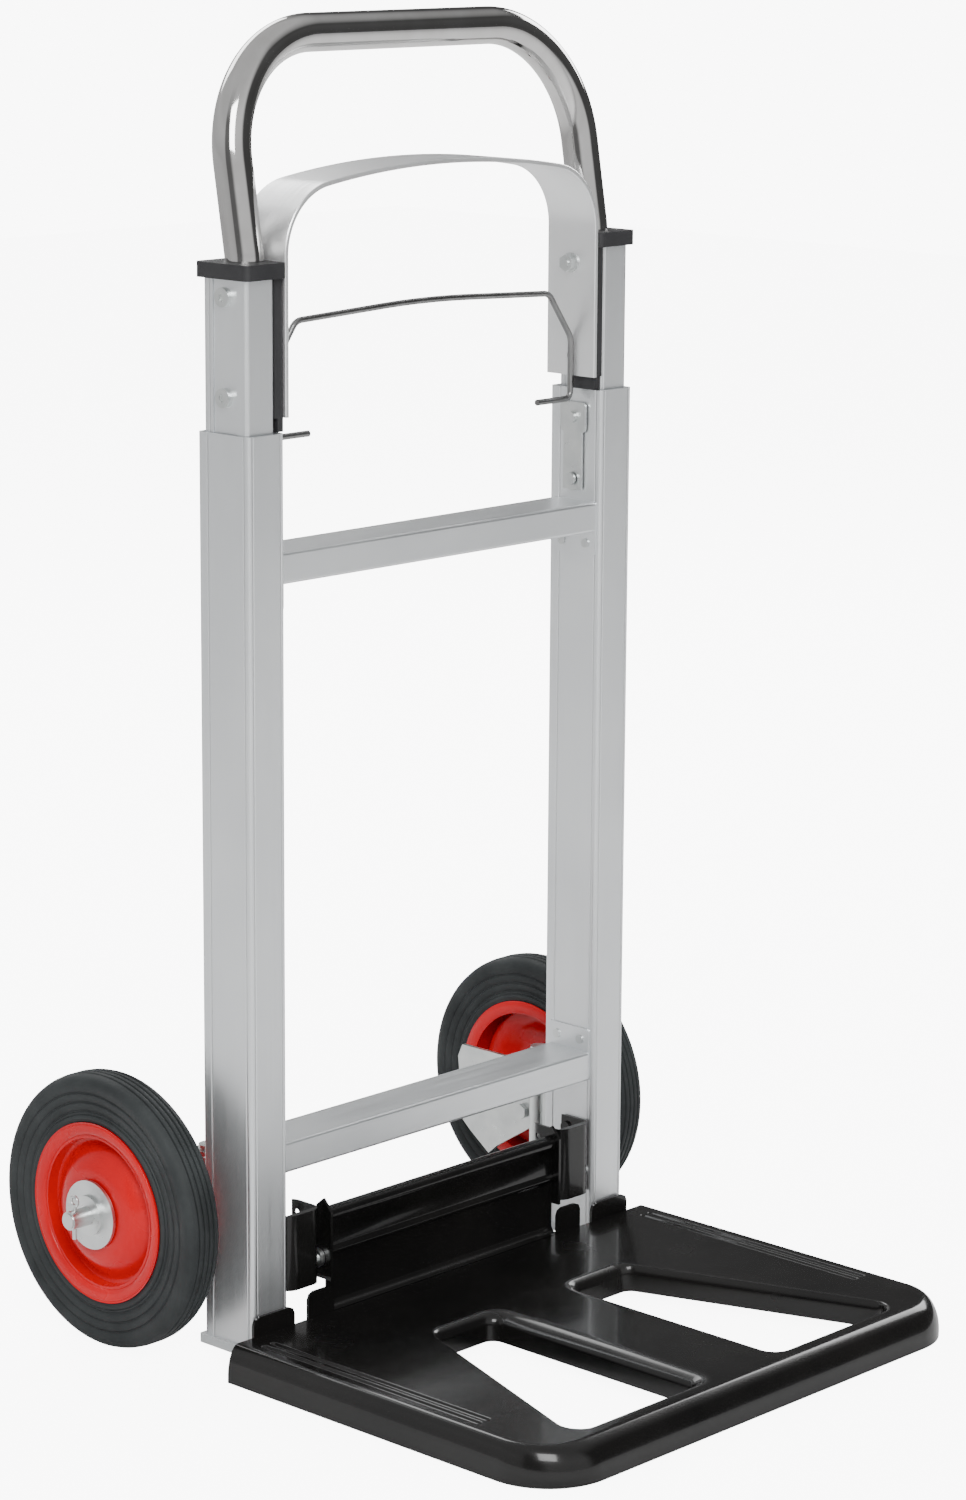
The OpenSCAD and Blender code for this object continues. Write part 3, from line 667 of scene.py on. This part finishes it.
def make_handle():
    """Chromed tube: upright legs, a slight lean to the back, and a straight top bar."""
    lean, tube_r = math.radians(9.7), 12 * MM
    leg_x, foot_z, bend_z, top_z = 155.5 * MM, 609.5 * MM, 700.2 * MM, 831 * MM
    lean_bend, grip_bend = 30 * MM, 76 * MM
    back = RAIL_MIDDLE + (top_z - bend_z) * math.tan(lean)
    corners = [Vector((leg_x, RAIL_MIDDLE, foot_z)), Vector((leg_x, RAIL_MIDDLE, bend_z)),
               Vector((leg_x, back, top_z))]
    corners += mirrored(corners[::-1])
    line = bent_line(corners, [lean_bend, grip_bend, grip_bend, lean_bend], 36)
    verts, faces = swept(line, tube_r, 64)
    add_piece("handle_tube", verts, faces, "inner_frame", "chrome", 50, ["handle"])


def arch_line(inset):
    """Outline of the arch at a depth in its thickness: leg, corner, crown, corner, leg."""
    face, corner_r, crown_r = 141.4 * MM, 44 * MM, 650 * MM
    foot_z, leg_z, top_z = 603 * MM, 640 * MM, 752.5 * MM
    corner_x = face - corner_r
    crown_mid = top_z - crown_r
    corner_z = crown_mid + math.sqrt((crown_r - corner_r) ** 2 - corner_x ** 2)
    turn = math.degrees(math.atan2(corner_z - crown_mid, corner_x))
    half = [(face - inset, foot_z), (face - inset, leg_z)]
    half += arc((corner_x, corner_z), corner_r - inset, 0, turn, 24)
    half += arc((0, crown_mid), crown_r - inset, turn, 90, 20)[1:]
    return half + [(-x, z) for x, z in reversed(half[:-1])]


def make_arch():
    """Flat aluminium bar, 3 mm by 42 mm, with its edges eased."""
    wide, ease, thick = 21 * MM, 0.5 * MM, 3 * MM
    section = [(0, ease - wide), (0, wide - ease), (ease, wide), (thick - ease, wide)]
    section += [(thick - inset, -y) for inset, y in section]
    lines = [[Vector((x, RAIL_MIDDLE + y, z)) for x, z in arch_line(inset)] for inset, y in section]
    rings = [list(ring) for ring in zip(*lines)]
    verts, faces = [], []
    starts = bridge(verts, faces, rings, True)
    faces += [tuple(range(start, start + len(section))) for start in (starts[0], starts[-1])]
    add_piece("arch_band", verts, faces, "inner_frame", "arch_metal", 30, ["arch_brace"])


def make_bail():
    """Spring wire with a bowed top, drawn in to the latch leaves at its feet."""
    y, wire_r = RAIL_FRONT + 20.5 * MM, 2 * MM
    half = [(104, 588), (136.4, 588), (136.4, 628), (114.5, 658.5)]
    crown_z, crown_r = 663.6 * MM, 900
    bends = (5, 14, 9)
    corners = [Vector((x, y, z)) for x, z in in_metres(half)]
    line = corners + [Vector((0, y, crown_z))] + mirrored(corners[::-1])
    radii = [radius * MM for radius in (*bends, crown_r, *bends[::-1])]
    verts, faces = swept(bent_line(line, radii, 12), wire_r, 20)
    add_piece("release_bail_wire", verts, faces, "bail", "zinc", 50, ["release_bail"], PAINTED_DARK_WIRE)


# ------------------------------------------------------------------ studio

def area_light(name, place, target, size, power):
    """White rectangular soft box aimed at a point."""
    data = bpy.data.lights.new(name, "AREA")
    data.shape = "RECTANGLE"
    data.size, data.size_y = size
    data.energy = power
    lamp = bpy.data.objects.new(name, data)
    lamp.location = place
    lamp.rotation_euler = (Vector(target) - Vector(place)).to_track_quat("-Z", "Y").to_euler()
    bpy.context.collection.objects.link(lamp)


def banded(nodes, stops):
    """Grey ramp through (position, level) stops."""
    ramp = nodes.new("ShaderNodeValToRGB")
    bands = ramp.color_ramp.elements
    while len(bands) < len(stops):
        bands.new(0.5)
    for band, (position, level) in zip(bands, stops):
        band.position = position
        band.color = (level, level, level, 1)
    return ramp


# Brightness the camera sees behind the truck
BACKDROP = 9.0
# The room's grey levels, as (place, level): from the floor up to the ceiling, and once round about
ROOM_HEIGHTS = ((0, 0.8), (0.49, 0.9), (0.53, 0.8), (0.7, 1.0), (0.86, 0.75), (1.0, 0.7))
ROOM_BANDS = (
    (0.0, 0.7), (0.012, 0.7), (0.025, 0.2), (0.09, 0.2), (0.13, 1.0), (0.3, 1.0),
    (0.335, 0.1), (0.61, 0.1), (0.66, 0.75), (1.0, 0.75),
)


def room(nodes, links):
    """Light and dark panels round about, fading out towards the ceiling and the floor: a Background node."""
    where = nodes.new("ShaderNodeTexCoord")
    split = nodes.new("ShaderNodeSeparateXYZ")
    links.new(where.outputs["Generated"], split.inputs["Vector"])
    span = nodes.new("ShaderNodeMapRange")
    span.inputs["From Min"].default_value = -1
    links.new(split.outputs["Z"], span.inputs["Value"])
    height = banded(nodes, ROOM_HEIGHTS)
    links.new(span.outputs["Result"], height.inputs["Fac"])
    round_about = nodes.new("ShaderNodeTexGradient")
    round_about.gradient_type = "RADIAL"
    links.new(where.outputs["Generated"], round_about.inputs["Vector"])
    around = banded(nodes, ROOM_BANDS)
    links.new(round_about.outputs["Fac"], around.inputs["Fac"])
    level = nodes.new("ShaderNodeMath")
    level.operation = "ABSOLUTE"
    links.new(split.outputs["Z"], level.inputs[0])
    fade = nodes.new("ShaderNodeMapRange")
    for socket, value in (("From Min", 0.55), ("From Max", 0.85), ("To Min", 1), ("To Max", 0)):
        fade.inputs[socket].default_value = value
    links.new(level.outputs["Value"], fade.inputs["Value"])
    blend = nodes.new("ShaderNodeMixRGB")
    blend.blend_type = "MULTIPLY"
    links.new(fade.outputs["Result"], blend.inputs["Fac"])
    links.new(height.outputs["Color"], blend.inputs["Color1"])
    links.new(around.outputs["Color"], blend.inputs["Color2"])
    sky = nodes["Background"]
    links.new(blend.outputs["Color"], sky.inputs["Color"])
    return sky


def make_studio():
    """Three soft boxes, the room for reflections, and a plain white backdrop that only the camera sees."""
    middle = (0, 0, 0.4)
    area_light("key", (-2.2, -2.4, 2.6), middle, (1.8, 1.8), 120)
    area_light("fill", (3.0, 0.5, 1.9), middle, (1.6, 1.2), 45)
    area_light("back", (0.6, 2.6, 2.4), middle, (2.4, 1.2), 45)
    world = bpy.data.worlds.new("studio")
    bpy.context.scene.world = world
    world.use_nodes = True
    nodes, links = world.node_tree.nodes, world.node_tree.links
    plain = nodes.new("ShaderNodeBackground")
    plain.inputs["Color"].default_value = (1, 1, 1, 1)
    plain.inputs["Strength"].default_value = BACKDROP
    path = nodes.new("ShaderNodeLightPath")
    mix = nodes.new("ShaderNodeMixShader")
    links.new(path.outputs["Is Camera Ray"], mix.inputs["Fac"])
    links.new(room(nodes, links).outputs["Background"], mix.inputs[1])
    links.new(plain.outputs["Background"], mix.inputs[2])
    links.new(mix.outputs["Shader"], nodes["World Output"].inputs["Surface"])


def make_floor():
    """Plain pale floor that meets the backdrop without an edge."""
    mesh = bpy.data.meshes.new("floor")
    reach = 6
    corners = [(-reach, -reach, 0), (reach, -reach, 0), (reach, reach, 0), (-reach, reach, 0)]
    mesh.from_pydata(corners, [], [(0, 1, 2, 3)])
    material, shader = new_material("floor", (0.9, 0.9, 0.9), 0, 0.9)
    nodes, links = material.node_tree.nodes, material.node_tree.links
    glow = nodes.new("ShaderNodeMath")
    glow.operation = "MULTIPLY"
    glow.inputs[1].default_value = BACKDROP - 1
    links.new(nodes.new("ShaderNodeLightPath").outputs["Is Camera Ray"], glow.inputs[0])
    links.new(glow.outputs["Value"], shader.inputs["Emission Strength"])
    shader.inputs["Emission Color"].default_value = (1, 1, 1, 1)
    mesh.materials.append(material)
    floor = bpy.data.objects.new("floor", mesh)
    floor.location.z = -0.5 * MM
    bpy.context.collection.objects.link(floor)


make_camera()
dress_nodes()
make_wheels()
make_toe_panel()
make_back_wall()
make_corner_flanges()
make_handle()
make_arch()
make_bail()
make_studio()
make_floor()
